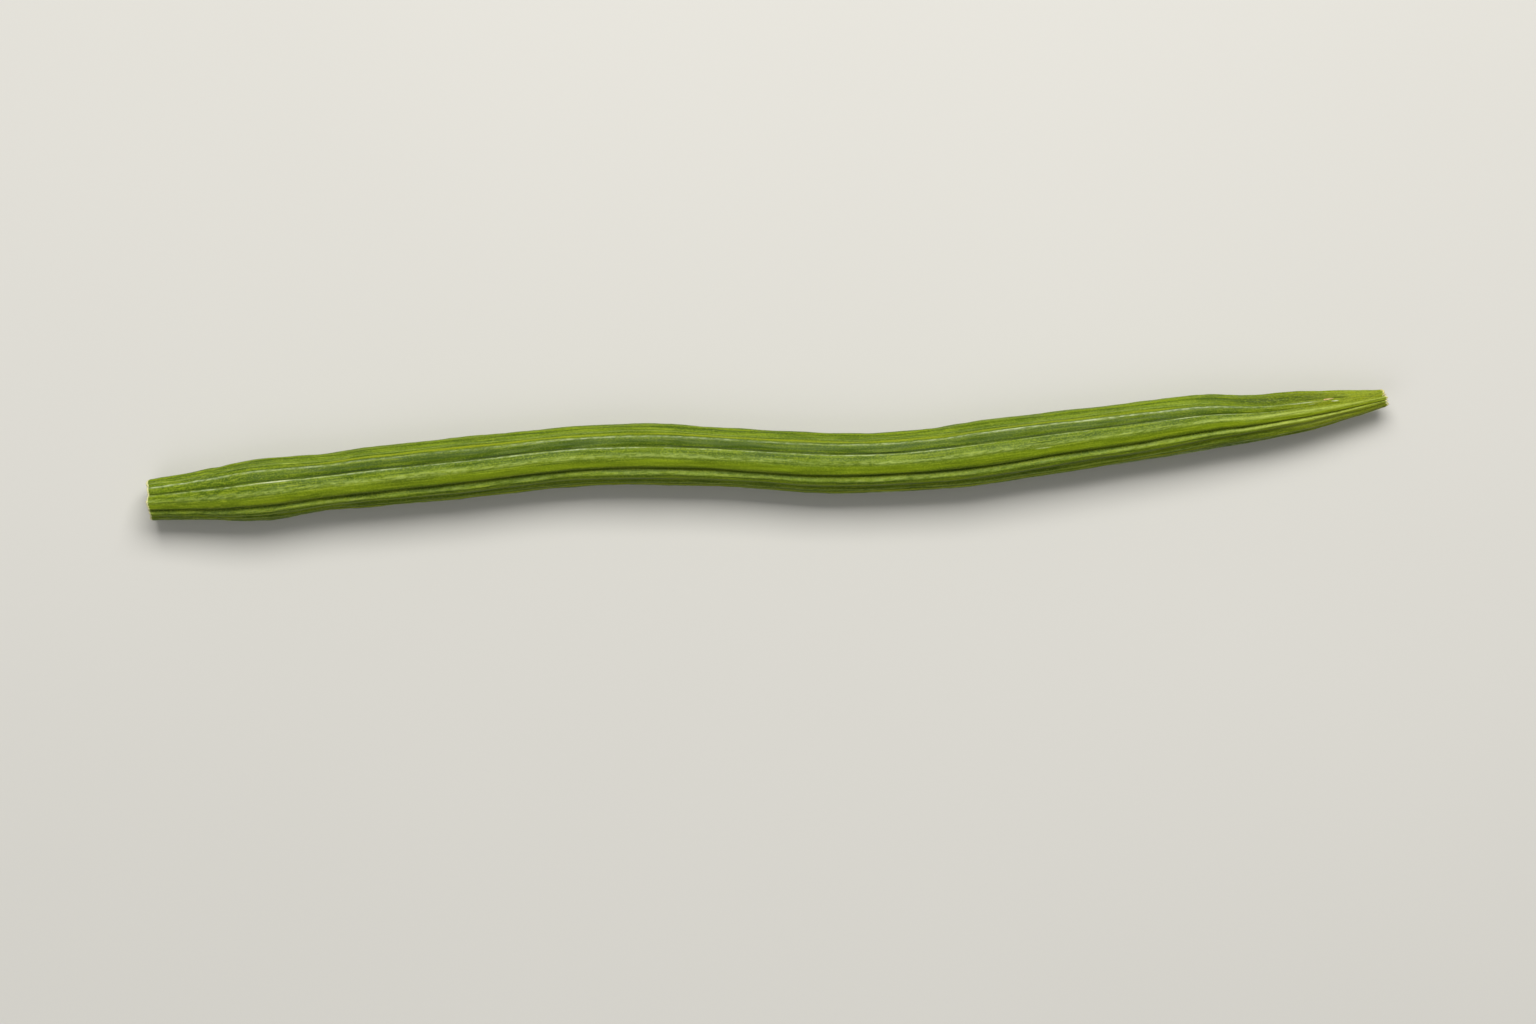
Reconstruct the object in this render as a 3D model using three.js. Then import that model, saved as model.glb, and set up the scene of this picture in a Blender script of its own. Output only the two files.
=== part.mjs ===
// A fresh moringa pod, trimmed across its broad end and its narrow neck, lying on a flat surface.
// Units are millimetres and +Z is up. X runs along the pod from the broad cut to the narrow cut, and
// Y is sideways. The pod grew as one piece, so it is one solid. The origin is under its middle, on
// the surface that it lies on.
import * as THREE from "three";

// Driving dimensions
const POD_LENGTH = 273;
const HEIGHT_TO_WIDTH = 0.97;

// Each list below holds pairs: the distance from the broad cut, and a size there.
// Half the width over the ribs, which swells over the seeds and draws in between them.
const HALF_WIDTHS = [
  [0, 4.55], [8, 5.15], [14, 5.82], [20, 6.57], [26, 6.9], [33, 6.65], [40, 6.37], [48, 6.69],
  [58, 6.76], [70, 6.88], [84, 6.66], [97, 6.72], [112, 6.93], [128, 6.62], [144, 6.86], [160, 6.68],
  [172, 6.86], [182, 7.18], [196, 6.9], [210, 6.68], [222, 6.45], [232, 6.08], [244, 5.05],
  [256, 4.2], [264, 3.1], [273, 1.9],
];
// How far the middle line bends sideways from the straight line between the two cuts.
const SIDEWAYS = [
  [0, 0], [14, 0.06], [28, 0.33], [46, 0.97], [60, 1.24], [74, 1.5], [88, 1.85], [98, 1.8],
  [112, 0.9], [128, -1.1], [146, -3.7], [160, -4.85], [174, -5], [184, -4.6], [196, -3.9],
  [210, -3.15], [223, -2.4], [234, -1.83], [244, -1.83], [254, -1.33], [264, -0.6], [273, 0.35],
];
// How far the ribs on the upper side turn from straight up, in degrees. They sway along the pod.
const RIB_TURNS = [
  [0, 9.5], [10, 11], [25, 9.5], [45, 10], [80, 7.5], [135, 4.5], [190, 2.8], [220, 2.4],
  [240, 2.2], [252, 2.4], [273, 0.5],
];
// How much closer together the ribs on the upper side run, as a share of their even spacing. They
// part a little towards the broad end, where the share is below 0, and gather up the neck.
const RIB_GATHERS = [
  [0, -0.08], [20, -0.14], [45, -0.08], [80, -0.05], [190, 0], [220, 0.06], [240, 0.2],
  [252, 0.28], [273, 0.28],
];
// How high the middle line is. The underside clears the surface at both ends and between swellings.
const AXIS_HEIGHTS = [
  [0, 5.5], [30, 6.15], [70, 6.1], [112, 6.06], [144, 6.1], [182, 6.4], [215, 6.15], [245, 5.9],
  [273, 5.2],
];

// The pod has three valves with three ribs each, and a furrow between each two ribs. A furrow is as
// deep as FURROW_DEPTH where half the width is FULL_HALF_WIDTH, and shallower where the pod is thin.
const VALVES = 3;
const RIBS = 9;
const VALVE_BULGE = 0.03;
const FULL_HALF_WIDTH = 6.9;
const FURROW_DEPTH = 0.78;
const FURROW_UNEVENNESS = 0.28;
const UNEVENNESS_START = 0.6;
// The section across one valve: the phase from its middle rib, in degrees, and the share of a furrow's
// depth that the surface is cut in there. The middle rib is flat-topped with steep sides.
const VALVE_SECTION = [
  [-80, 0], [-72, 0.2], [-66, 0.6], [-60, 0.8], [-55, 0.35], [-46, 0.1], [-40, 0], [-32, 0.4],
  [-24, 0.9], [-21, 1], [-17, 0.2], [-10, 0.04], [0, 0], [10, 0.03], [19, 0.15], [25, 1], [29, 0.65],
  [34, 0.15], [40, 0],
];

// The cut faces are dished round a three-armed hollow. Their edges are a little torn, in waves that
// each have a height, a number of crests round the pod and a starting angle. At the neck, each rib
// ends in a lobe that stands out past the furrows beside it.
const RIM_WAVES = [
  { height: 0.16, crests: 5, start: 1 },
  { height: 0.1, crests: 11, start: 2 },
];
const RIM_TEAR_REACH = 4;
const NECK_LOBE = 0.45;
const CUT_DISH = 0.14;
const CORE_DEPTH = 0.55;
const CORE_REACH = 0.4;
const CORE_ARM = 0.14;
const NECK_SLANT = 0.26;
const NECK_SLANT_REACH = 9;

// How finely the surface is divided
const STEPS_PER_RIB = 6;
const STEPS_ALONG = 84;
const RIM_STEPS = [0.5, 1.6];
const CUT_RINGS = [0.93, 0.7, 0.42, 0.2];

// The value at a distance s in a list of pairs, on a smooth curve through them.
function sizeAt(pairs, s) {
  let i = 0;
  while (i < pairs.length - 2 && s > pairs[i + 1][0]) i++;
  const slope = (k) => {
    const [before, after] = [pairs[Math.max(k - 1, 0)], pairs[Math.min(k + 1, pairs.length - 1)]];
    return (after[1] - before[1]) / (after[0] - before[0]);
  };
  const [[s0, v0], [s1, v1]] = [pairs[i], pairs[i + 1]];
  const span = s1 - s0;
  const t = THREE.MathUtils.clamp((s - s0) / span, 0, 1);
  return (
    v0 * (1 + 2 * t) * (1 - t) ** 2 +
    slope(i) * span * t * (1 - t) ** 2 +
    v1 * t * t * (3 - 2 * t) -
    slope(i + 1) * span * t * t * (1 - t)
  );
}

// The phase from the middle rib of the valve that phase p lies in, in degrees.
function valvePhase(p) {
  const start = VALVE_SECTION[0][0];
  return start + THREE.MathUtils.euclideanModulo(THREE.MathUtils.radToDeg(p) - start, 360 / VALVES);
}

// How far a furrow cuts in at phase p round the pod: nothing on a rib's crest, all of it between ribs.
function furrow(p, s) {
  const depth = (FURROW_DEPTH * sizeAt(HALF_WIDTHS, s)) / FULL_HALF_WIDTH;
  const uneven = 1 + FURROW_UNEVENNESS * Math.sin(2 * p + UNEVENNESS_START);
  return depth * uneven * sizeAt(VALVE_SECTION, valvePhase(p));
}

// The pod's radius at phase p, where p is 0 on the rib that lies uppermost.
function radiusAt(p, s) {
  const round = sizeAt(HALF_WIDTHS, s) * (1 + VALVE_BULGE * Math.cos(VALVES * p));
  return round - furrow(p, s);
}

// The angle from straight up at which phase p lies. The underside's ribs keep to their phases.
function angleAt(p, s) {
  const turn = THREE.MathUtils.degToRad(sizeAt(RIB_TURNS, s)) * Math.cos(p / 2) ** 2;
  return p + turn - sizeAt(RIB_GATHERS, s) * Math.sin(p);
}

// How far the torn edge of a cut stands out at phase p, fading over a short reach along the skin. Between
// two lobes it draws back by the size of a lobe.
function tear(p, reach, lobe) {
  const waves = RIM_WAVES.map(({ height, crests, start }) => height * Math.sin(crests * p + start));
  const notch = lobe * sizeAt(VALVE_SECTION, valvePhase(p));
  return (waves[0] + waves[1] - notch) * Math.max(0, 1 - reach / RIM_TEAR_REACH) ** 2;
}

// How deep a cut face is dished at a share of its radius.
function dish(p, share) {
  const core = CORE_REACH + CORE_ARM * Math.cos(VALVES * p);
  return CUT_DISH * (1 - share ** 4) + CORE_DEPTH * Math.max(0, 1 - share / core);
}

// A point of the surface at distance s, phase p and share of the radius, which is 1 on the skin.
function pointAt(s, p, share) {
  const a = angleAt(p, s);
  const r = radiusAt(p, s) * share;
  const [side, up] = [-r * Math.sin(a), HEIGHT_TO_WIDTH * r * Math.cos(a)];
  const nearBroad = s < POD_LENGTH / 2;
  const outward = nearBroad ? -1 : 1;
  const reach = nearBroad ? s : POD_LENGTH - s;
  const slant = nearBroad ? 0 : NECK_SLANT * Math.max(0, 1 - reach / NECK_SLANT_REACH) ** 2;
  const torn = tear(p, reach, nearBroad ? 0 : NECK_LOBE) * share;
  const x = s - POD_LENGTH / 2 + outward * (torn - dish(p, share)) - slant * side;
  const y = sizeAt(SIDEWAYS, s) + side;
  const z = Math.max(0, sizeAt(AXIS_HEIGHTS, s) + up);
  return new THREE.Vector3(x, y, z);
}

// The rings of the surface in order: out over the broad cut, along the skin, and in over the neck cut.
function ringPlan() {
  const skin = [0, ...RIM_STEPS];
  const run = POD_LENGTH - 2 * RIM_STEPS.at(-1);
  for (let i = 1; i < STEPS_ALONG; i++) skin.push(RIM_STEPS.at(-1) + (run * i) / STEPS_ALONG);
  skin.push(...[...RIM_STEPS].reverse().map((d) => POD_LENGTH - d), POD_LENGTH);
  return [
    ...[...CUT_RINGS].reverse().map((share) => ({ s: 0, share })),
    ...skin.map((s) => ({ s, share: 1 })),
    ...CUT_RINGS.map((share) => ({ s: POD_LENGTH, share })),
  ];
}

function podGeometry() {
  const rings = ringPlan();
  const round = RIBS * STEPS_PER_RIB;
  const points = rings.flatMap(({ s, share }) =>
    Array.from({ length: round }, (_, j) => pointAt(s, (2 * Math.PI * j) / round, share)),
  );
  const broadMiddle = points.push(pointAt(0, 0, 0)) - 1;
  const neckMiddle = points.push(pointAt(POD_LENGTH, 0, 0)) - 1;
  const faces = [];
  for (let j = 0; j < round; j++) {
    const k = (j + 1) % round;
    const last = (rings.length - 1) * round;
    faces.push(broadMiddle, k, j, neckMiddle, last + j, last + k);
    for (let i = 0; i < last; i += round) {
      faces.push(i + j, i + round + k, i + round + j, i + j, i + k, i + round + k);
    }
  }
  return new THREE.BufferGeometry().setFromPoints(points).setIndex(faces);
}

// Moves a geometry so that the middle of its underside is the origin.
function standOnOrigin(geometry) {
  geometry.computeBoundingBox();
  const { min, max } = geometry.boundingBox;
  return geometry.translate(-(min.x + max.x) / 2, -(min.y + max.y) / 2, -min.z);
}

const skin = new THREE.MeshStandardMaterial({ color: 0x687a24, roughness: 0.5, metalness: 0 });
const geometry = standOnOrigin(podGeometry());
geometry.computeVertexNormals();
const pod = new THREE.Mesh(geometry, skin);
pod.name = "moringa_pod";

const group = new THREE.Group();
group.add(pod);
export default group;
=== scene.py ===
"""A fresh green moringa pod, cut across its broad end and its narrow neck, on a pale studio floor.

The pod's surface follows one rule of its distance along the pod and its phase round it. The rule is
written once, as node maths: Geometry Nodes roll a flat sheet of distances and phases up into the pod
with it, and the materials colour the same veins, so that each line of colour lies on its own ridge or
furrow. Sizes are in millimetres, as a pod is measured, and a finished piece is scaled to metres.
"""

import logging
import math
from collections.abc import Iterable
from dataclasses import dataclass
from enum import Enum

import bpy
from mathutils import Matrix, Vector


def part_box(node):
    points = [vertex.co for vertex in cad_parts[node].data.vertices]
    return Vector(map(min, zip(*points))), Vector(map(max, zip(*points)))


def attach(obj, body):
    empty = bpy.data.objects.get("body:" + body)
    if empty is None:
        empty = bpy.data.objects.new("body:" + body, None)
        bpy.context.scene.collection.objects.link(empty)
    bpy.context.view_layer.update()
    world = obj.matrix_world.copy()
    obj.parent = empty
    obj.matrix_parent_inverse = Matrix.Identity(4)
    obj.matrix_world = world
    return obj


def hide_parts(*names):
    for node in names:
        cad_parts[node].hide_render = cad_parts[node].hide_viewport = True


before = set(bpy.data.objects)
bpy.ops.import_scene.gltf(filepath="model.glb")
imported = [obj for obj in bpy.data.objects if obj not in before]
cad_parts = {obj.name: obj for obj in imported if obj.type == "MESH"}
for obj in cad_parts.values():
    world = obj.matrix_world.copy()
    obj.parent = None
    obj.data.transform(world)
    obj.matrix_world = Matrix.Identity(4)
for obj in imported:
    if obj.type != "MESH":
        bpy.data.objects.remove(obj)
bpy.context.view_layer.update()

log = logging.getLogger("moringa_pod")

MM = 0.001
BODY = "root"
NODE = "moringa_pod"
SKIN_MAP = "skin_map"
SHARE = "share"
ON_CUT = "on_cut"

# How many points of a curve are kept for each pair of sizes in its list.
CURVE_STEPS = 4
# Brings a noise node's numbers, less their middle, to about -1 to 1.
NOISE_SPREAD = 3.0
# Sets every random pattern.
SEED = 4.0
# A point with a smaller share of the radius than this lies on a cut face. On the skin the share is 1.
SKIN_SHARE = 0.999

Colour = tuple[float, float, float, float]
Pairs = tuple[tuple[float, float], ...]


def colour(red: int, green: int, blue: int) -> Colour:
    """Gives a shader colour from the numbers that a picture shows.

    Args:
        red: How red it is, from 0 to 255.
        green: How green it is, from 0 to 255.
        blue: How blue it is, from 0 to 255.

    Returns:
        The linear colour, with full opacity.
    """
    shares = [c / 255 for c in (red, green, blue)]
    linear = [c / 12.92 if c <= 0.04045 else ((c + 0.055) / 1.055) ** 2.4 for c in shares]
    return (*linear, 1.0)


def size_at(pairs: Pairs, s: float) -> float:
    """Gives the size at a distance in a list of pairs, on a smooth curve through them.

    Args:
        pairs: Distances and the sizes there.
        s: The distance.

    Returns:
        The size.
    """
    last = len(pairs) - 1
    i = next((k for k in range(last) if s <= pairs[k + 1][0]), last - 1)

    def slope(k: int) -> float:
        """Gives the curve's slope at pair k."""
        before, after = pairs[max(k - 1, 0)], pairs[min(k + 1, last)]
        return (after[1] - before[1]) / (after[0] - before[0])

    (s0, v0), (s1, v1) = pairs[i], pairs[i + 1]
    span = s1 - s0
    t = min(max((s - s0) / span, 0.0), 1.0)
    bend = slope(i) * span * t * (1 - t) ** 2 - slope(i + 1) * span * t * t * (1 - t)
    return v0 * (1 + 2 * t) * (1 - t) ** 2 + v1 * t * t * (3 - 2 * t) + bend


class Value:
    """A number that differs over a surface: one socket, with the operators that maths is written in."""

    def __init__(self, maker: "Maker", socket: bpy.types.NodeSocket) -> None:
        """Wraps one output socket."""
        self.maker = maker
        self.socket = socket

    def __add__(self, other: "Number") -> "Value":
        """Adds."""
        return self.maker.math("ADD", self, other)

    def __radd__(self, other: "Number") -> "Value":
        """Adds to a plain number."""
        return self.maker.math("ADD", other, self)

    def __sub__(self, other: "Number") -> "Value":
        """Takes away."""
        return self.maker.math("SUBTRACT", self, other)

    def __rsub__(self, other: "Number") -> "Value":
        """Takes this from a plain number."""
        return self.maker.math("SUBTRACT", other, self)

    def __mul__(self, other: "Number") -> "Value":
        """Multiplies."""
        return self.maker.math("MULTIPLY", self, other)

    def __rmul__(self, other: "Number") -> "Value":
        """Multiplies a plain number."""
        return self.maker.math("MULTIPLY", other, self)

    def __truediv__(self, other: "Number") -> "Value":
        """Divides."""
        return self.maker.math("DIVIDE", self, other)

    def __pow__(self, other: "Number") -> "Value":
        """Raises to a power."""
        return self.maker.math("POWER", self, other)

    def __neg__(self) -> "Value":
        """Turns the sign."""
        return self.maker.math("MULTIPLY", self, -1.0)

    def sin(self) -> "Value":
        """Takes the sine of radians."""
        return self.maker.math("SINE", self)

    def cos(self) -> "Value":
        """Takes the cosine of radians."""
        return self.maker.math("COSINE", self)

    def at_least(self, low: "Number") -> "Value":
        """Holds the number at or above low."""
        return self.maker.math("MAXIMUM", self, low)

    def at_most(self, high: "Number") -> "Value":
        """Holds the number at or below high."""
        return self.maker.math("MINIMUM", self, high)

    def held(self) -> "Value":
        """Holds the number between 0 and 1."""
        node = self.maker.node("ShaderNodeClamp", None, {0: self, 1: 0.0, 2: 1.0})
        return Value(self.maker, node.outputs[0])

    def spread(self, gain: float, middle: float = 0.5) -> "Value":
        """Spreads noise of about -1 to 1 round a middle, and holds it between 0 and 1."""
        return (self * gain + middle).held()

    def ramp(self, start: float, end: float) -> "Value":
        """Rises smoothly from 0 to 1.

        Args:
            start: The number at which it is 0.
            end: The number at which it is 1, which may be below the other.

        Returns:
            The share, from 0 to 1.
        """
        sockets = {0: self, 1: start, 2: end, 3: 0.0, 4: 1.0}
        node = self.maker.node("ShaderNodeMapRange", {"interpolation_type": "SMOOTHSTEP"}, sockets)
        return Value(self.maker, node.outputs[0])

    def bell(self, width: "Number") -> "Value":
        """Is 1 where the number is 0, and fades to about a third at a width either side."""
        share = self / width
        return self.maker.math("EXPONENT", -(share * share))


Number = Value | float


class Maker:
    """Adds nodes to a shader tree or a geometry tree and links them."""

    def __init__(self, tree: bpy.types.NodeTree) -> None:
        """Works on one tree, from empty."""
        self.tree = tree
        tree.nodes.clear()

    def node(self, kind: str, settings: dict | None = None, sockets: dict | None = None) -> bpy.types.Node:
        """Adds a node.

        Args:
            kind: The node's type name.
            settings: The node's own properties, which are set first.
            sockets: A number, colour or link for each input, by the input's name or number.

        Returns:
            The node.
        """
        node = self.tree.nodes.new(kind)
        for name, setting in (settings or {}).items():
            setattr(node, name, setting)
        for name, given in (sockets or {}).items():
            if isinstance(name, str):
                socket = next(i for i in node.inputs if i.name == name and i.enabled)
            else:
                socket = node.inputs[name]
            self.feed(socket, given)
        return node

    def feed(self, socket: bpy.types.NodeSocket, given: object) -> None:
        """Links a value or a socket to an input, or sets the input to a plain number or colour.

        Args:
            socket: The input.
            given: The value, socket, number or colour.
        """
        if isinstance(given, Value):
            given = given.socket
        if isinstance(given, bpy.types.NodeSocket):
            self.tree.links.new(given, socket)
        else:
            socket.default_value = given

    def math(self, operation: str, *numbers: Number) -> Value:
        """Adds a Math node for an operation on numbers."""
        node = self.node("ShaderNodeMath", {"operation": operation}, dict(enumerate(numbers)))
        return Value(self, node.outputs[0])

    def vector(self, x: Number, y: Number, z: Number) -> bpy.types.NodeSocket:
        """Joins three numbers into a vector."""
        return self.node("ShaderNodeCombineXYZ", None, {0: x, 1: y, 2: z}).outputs[0]

    def split(self, vector: bpy.types.NodeSocket) -> tuple[Value, Value, Value]:
        """Splits a vector into its three numbers."""
        node = self.node("ShaderNodeSeparateXYZ", None, {0: vector})
        return tuple(Value(self, socket) for socket in node.outputs)

    def noise(self, place: bpy.types.NodeSocket, seed: Number, detail: float = 2.0) -> Value:
        """Adds smooth noise, with features about one unit of place across.

        Args:
            place: Where the noise is read.
            seed: Gives each pattern its own noise.
            detail: How many finer layers the noise has.

        Returns:
            The noise, from about -1 to 1.
        """
        settings = {"noise_dimensions": "4D"}
        sockets = {"Vector": place, "W": seed, "Scale": 1.0, "Detail": detail, "Roughness": 0.5}
        node = self.node("ShaderNodeTexNoise", settings, sockets)
        return (Value(self, node.outputs[0]) - 0.5) * NOISE_SPREAD

    def object_noise(self, pitch: float, seed: float, detail: float = 2.0) -> Value:
        """Adds noise that runs through a whole piece.

        Args:
            pitch: About how large the noise's features are, in metres.
            seed: Gives each pattern its own noise.
            detail: How many finer layers the noise has.

        Returns:
            The noise, from about -1 to 1.
        """
        x, y, z = self.split(self.node("ShaderNodeTexCoord").outputs["Object"])
        return self.noise(self.vector(x / pitch, y / pitch, z / pitch), seed, detail)

    def curve(self, at: Value, pairs: Pairs) -> Value:
        """Reads a size from a list of pairs, on a smooth curve through them.

        Args:
            at: The distance at which the size is read.
            pairs: Distances and the sizes there.

        Returns:
            The size at that distance.
        """
        start, length = pairs[0][0], pairs[-1][0] - pairs[0][0]
        steps = len(pairs) * CURVE_STEPS
        sizes = [size_at(pairs, start + length * i / steps) for i in range(steps + 1)]
        low, high = min(sizes), max(sizes)
        node = self.node("ShaderNodeFloatCurve", None, {"Value": (at - start) * (1 / length)})
        line = node.mapping.curves[0].points
        shares = [(size - low) / (high - low) for size in sizes]
        line[0].location, line[1].location = (0.0, shares[0]), (1.0, shares[-1])
        for i in range(1, steps):
            line.new(i / steps, shares[i])
        node.mapping.update()
        return Value(self, node.outputs[0]) * (high - low) + low

    def mix(self, share: Number, first: object, second: object) -> bpy.types.NodeSocket:
        """Mixes two colours.

        Args:
            share: The share of the second colour.
            first: The first colour, or the socket that gives it.
            second: The second colour, or the socket that gives it.

        Returns:
            The mixed colour.
        """
        sockets = {"Factor": share, "A": first, "B": second}
        node = self.node("ShaderNodeMix", {"data_type": "RGBA"}, sockets)
        return next(socket for socket in node.outputs if socket.enabled)

    def coats(self, base: object, coats: "Coats") -> bpy.types.NodeSocket:
        """Lays coats of colour over a base, one after the other.

        Args:
            base: The colour that they lie on.
            coats: How much of what is under it each coat covers, and its colour.

        Returns:
            The colour that shows.
        """
        for share, tint in coats:
            base = self.mix(share, base, tint)
        return base


Coats = Iterable[tuple[Number, object]]


@dataclass(frozen=True)
class PodSizes:
    """The pod's measures.

    Each list gives a size at distances from the broad cut. Only the valve's section gives the share of
    a furrow's depth at phases from a valve's middle rib. Each of the rim's waves has a height, a number
    of crests round the pod and a starting angle. A rope is the slanting strands of a pale line.
    """

    length: float = 273.0
    height_to_width: float = 0.97
    half_widths: Pairs = (
        (0, 4.55), (8, 5.15), (14, 5.82), (20, 6.57), (26, 6.9), (33, 6.65), (40, 6.37), (48, 6.69),
        (58, 6.76), (70, 6.88), (84, 6.66), (97, 6.72), (112, 6.93), (128, 6.62), (144, 6.86),
        (160, 6.68), (172, 6.86), (182, 7.18), (196, 6.9), (210, 6.68), (222, 6.45), (232, 6.08),
        (244, 5.05), (256, 4.2), (264, 3.1), (273, 1.9),
    )
    sideways: Pairs = (
        (0, 0), (14, 0.06), (28, 0.33), (46, 0.97), (60, 1.24), (74, 1.5), (88, 1.85), (98, 1.8),
        (112, 0.9), (128, -1.1), (146, -3.7), (160, -4.85), (174, -5), (184, -4.6), (196, -3.9),
        (210, -3.15), (223, -2.4), (234, -1.83), (244, -1.83), (254, -1.33), (264, -0.6), (273, 0.35),
    )
    rib_turns: Pairs = (
        (0, 9.5), (10, 11), (25, 9.5), (45, 10), (80, 7.5), (135, 4.5), (190, 2.8), (220, 2.4),
        (240, 2.2), (252, 2.4), (273, 0.5),
    )
    rib_gathers: Pairs = (
        (0, -0.08), (20, -0.14), (45, -0.08), (80, -0.05), (190, 0), (220, 0.06), (240, 0.2),
        (252, 0.28), (273, 0.28),
    )
    axis_heights: Pairs = (
        (0, 5.5), (30, 6.15), (70, 6.1), (112, 6.06), (144, 6.1), (182, 6.4), (215, 6.15), (245, 5.9),
        (273, 5.2),
    )
    valves: int = 3
    valve_bulge: float = 0.03
    full_half_width: float = 6.9
    furrow_depth: float = 0.78
    furrow_unevenness: float = 0.28
    unevenness_start: float = 0.6
    valve_section: Pairs = (
        (-80, 0), (-72, 0.2), (-66, 0.6), (-60, 0.8), (-55, 0.35), (-46, 0.1), (-40, 0), (-32, 0.4),
        (-24, 0.9), (-21, 1), (-17, 0.2), (-10, 0.04), (0, 0), (10, 0.03), (19, 0.15), (25, 1), (29, 0.65),
        (34, 0.15), (40, 0),
    )
    rim_waves: tuple[tuple[float, int, float], ...] = ((0.16, 5, 1.0), (0.1, 11, 2.0))
    rim_tear_reach: float = 4.0
    neck_lobe: float = 0.45
    rim_round: float = 0.1
    rim_round_reach: float = 0.55
    cut_dish: float = 0.14
    core_depth: float = 0.55
    core_reach: float = 0.4
    core_arm: float = 0.14
    neck_slant: float = 0.26
    neck_slant_reach: float = 9.0
    line_wander: float = 0.02
    rope_slant: float = 0.9
    rope_pitch: float = 1.5
    rope_width: float = 0.36
    rope_seed: int = 23
    rope_gap: float = 0.25
    crack_width: float = 0.07


class Tint(Enum):
    """What colours a line or a band on the skin."""

    # The shade and dark tints are painted shade, laid in creases, cracks and furrows. The grey tint is a
    # grey-green tone darkened with painted shade. The white and pale tints are pale bloom brightened with
    # painted highlight.
    WHITE = "white"
    PALE = "pale"
    FROST = "frost"
    GREY_AND_SHADE = "grey"
    OLIVE = "olive"
    YELLOW = "yellow"
    SHADE = "shade"
    DARK = "dark"


@dataclass(frozen=True)
class Vein:
    """A line or band that runs the length of each valve.

    The phase is in degrees from the valve's middle rib. Width and height are in millimetres, and a
    height below 0 is a crease. Broken says how far the line fades in and out, and roped whether it is
    made of slanting strands. A line may begin or end at a distance from the broad cut, which can lie
    past either cut, and it fades over so many millimetres there.
    """

    name: str
    phase: float
    width: float
    height: float
    tint: Tint
    strength: float
    broken: float = 0.4
    roped: bool = False
    begins: float | None = None
    ends: float | None = None
    fading: float = 30.0

    def run(self, line: Value, along: Value) -> Value:
        """Fades the line out where it begins and ends.

        Args:
            line: How strongly the line shows.
            along: The distance from the broad cut.

        Returns:
            The strength, which is 0 before the line begins and past where it ends.
        """
        if self.begins is not None:
            line = line * along.ramp(self.begins, self.begins + self.fading)
        if self.ends is not None:
            line = line * along.ramp(self.ends, self.ends - self.fading)
        return line


# Some vein colours are painted light. The creases, the ridge crack, the furrow shade and the deep furrow are
# painted shade. The grey face is a grey-green band darkened with painted shade. The shoulder line and the
# furrow lip are pale bloom brightened with painted highlight, the lip most of all; the frosted lip, the
# middle ridge and the broad rib are pale bloom with some painted highlight.
VEINS = (
    Vein("olive edge", -76.5, 0.28, 0.05, Tint.OLIVE, 0.6),
    Vein("outer crease", -71.0, 0.20, -0.06, Tint.SHADE, 0.55, ends=262.0),
    Vein("frosted face", -62.5, 0.60, 0.0, Tint.FROST, 0.6, 0.5, roped=True),
    Vein("frosted lip", -54.3, 0.18, 0.07, Tint.PALE, 0.7, 0.5, roped=True, ends=255.0),
    Vein("upper crease", -50.8, 0.12, -0.05, Tint.SHADE, 0.5, ends=250.0),
    Vein("valve seam", -46.3, 0.30, 0.07, Tint.YELLOW, 0.75, 0.55, begins=18.0, ends=245.0),
    Vein("seam crease", -42.4, 0.11, -0.07, Tint.SHADE, 0.6, ends=262.0),
    Vein("shoulder line", -39.3, 0.22, 0.12, Tint.WHITE, 0.85, 0.6, roped=True, ends=266.0),
    Vein("shaded grey face", -30.5, 0.80, -0.05, Tint.GREY_AND_SHADE, 0.85, 0.45, begins=5.0, ends=262.0, fading=55.0),
    Vein("furrow shade", -22.4, 0.25, -0.05, Tint.DARK, 0.9, 0.45, ends=262.0),
    Vein("furrow lip", -17.8, 0.16, 0.09, Tint.WHITE, 0.75, 0.6, roped=True, ends=262.0),
    Vein("middle ridge", -2.5, 0.5, 0.12, Tint.PALE, 1.0, 0.35, roped=True, ends=300.0),
    Vein("ridge crack", 1.6, 0.12, -0.05, Tint.SHADE, 0.5, 0.8, ends=255.0),
    Vein("olive crest", 11.0, 1.00, 0.03, Tint.OLIVE, 0.6, 0.5),
    Vein("deep furrow", 25.3, 0.24, -0.05, Tint.DARK, 0.55, 0.3, begins=-5.0, ends=245.0, fading=75.0),
    Vein("broad rib", 32.8, 0.42, 0.07, Tint.PALE, 0.6, 0.5, roped=True, ends=300.0),
    Vein("rib crease", 38.3, 0.14, -0.05, Tint.SHADE, 0.5, 0.6, ends=262.0),
)
VALVE_START = -80.0
VALVE_SPAN = 120.0
FADE_PATTERNS = 4


class Pattern(Enum):
    """The random patterns on the skin.

    Each has a seed of its own, so that no two are alike, the length of its features along the pod and
    their width round it in millimetres, and a number of finer layers.
    """

    FADE = (10, 14.0, 3.5, 2.0)
    WANDER = (20, 16.0, 4.0, 0.0)
    LUMPS = (21, 9.0, 3.0, 2.0)
    WRINKLES = (22, 10.0, 0.6, 2.0)
    TEETH = (24, 3.0, 0.45, 3.0)
    CRACKS = (26, 13.0, 1.1, 1.0)
    CRACK_PATCHES = (27, 24.0, 4.0, 2.0)
    MOTTLE = (30, 7.0, 1.6, 2.0)
    STREAKS = (31, 10.0, 0.26, 3.0)
    BANDS = (32, 26.0, 0.8, 2.0)
    FROST = (33, 40.0, 3.0, 2.0)
    GRAIN = (34, 0.42, 0.3, 3.0)
    EDGE = (35, 0.7, 0.3, 3.0)
    GLOSS = (37, 5.0, 1.5, 2.0)

    def __init__(self, seed: int, length: float, width: float, detail: float) -> None:
        """Names the four numbers."""
        self.seed = seed
        self.length = length
        self.width = width
        self.detail = detail


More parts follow.
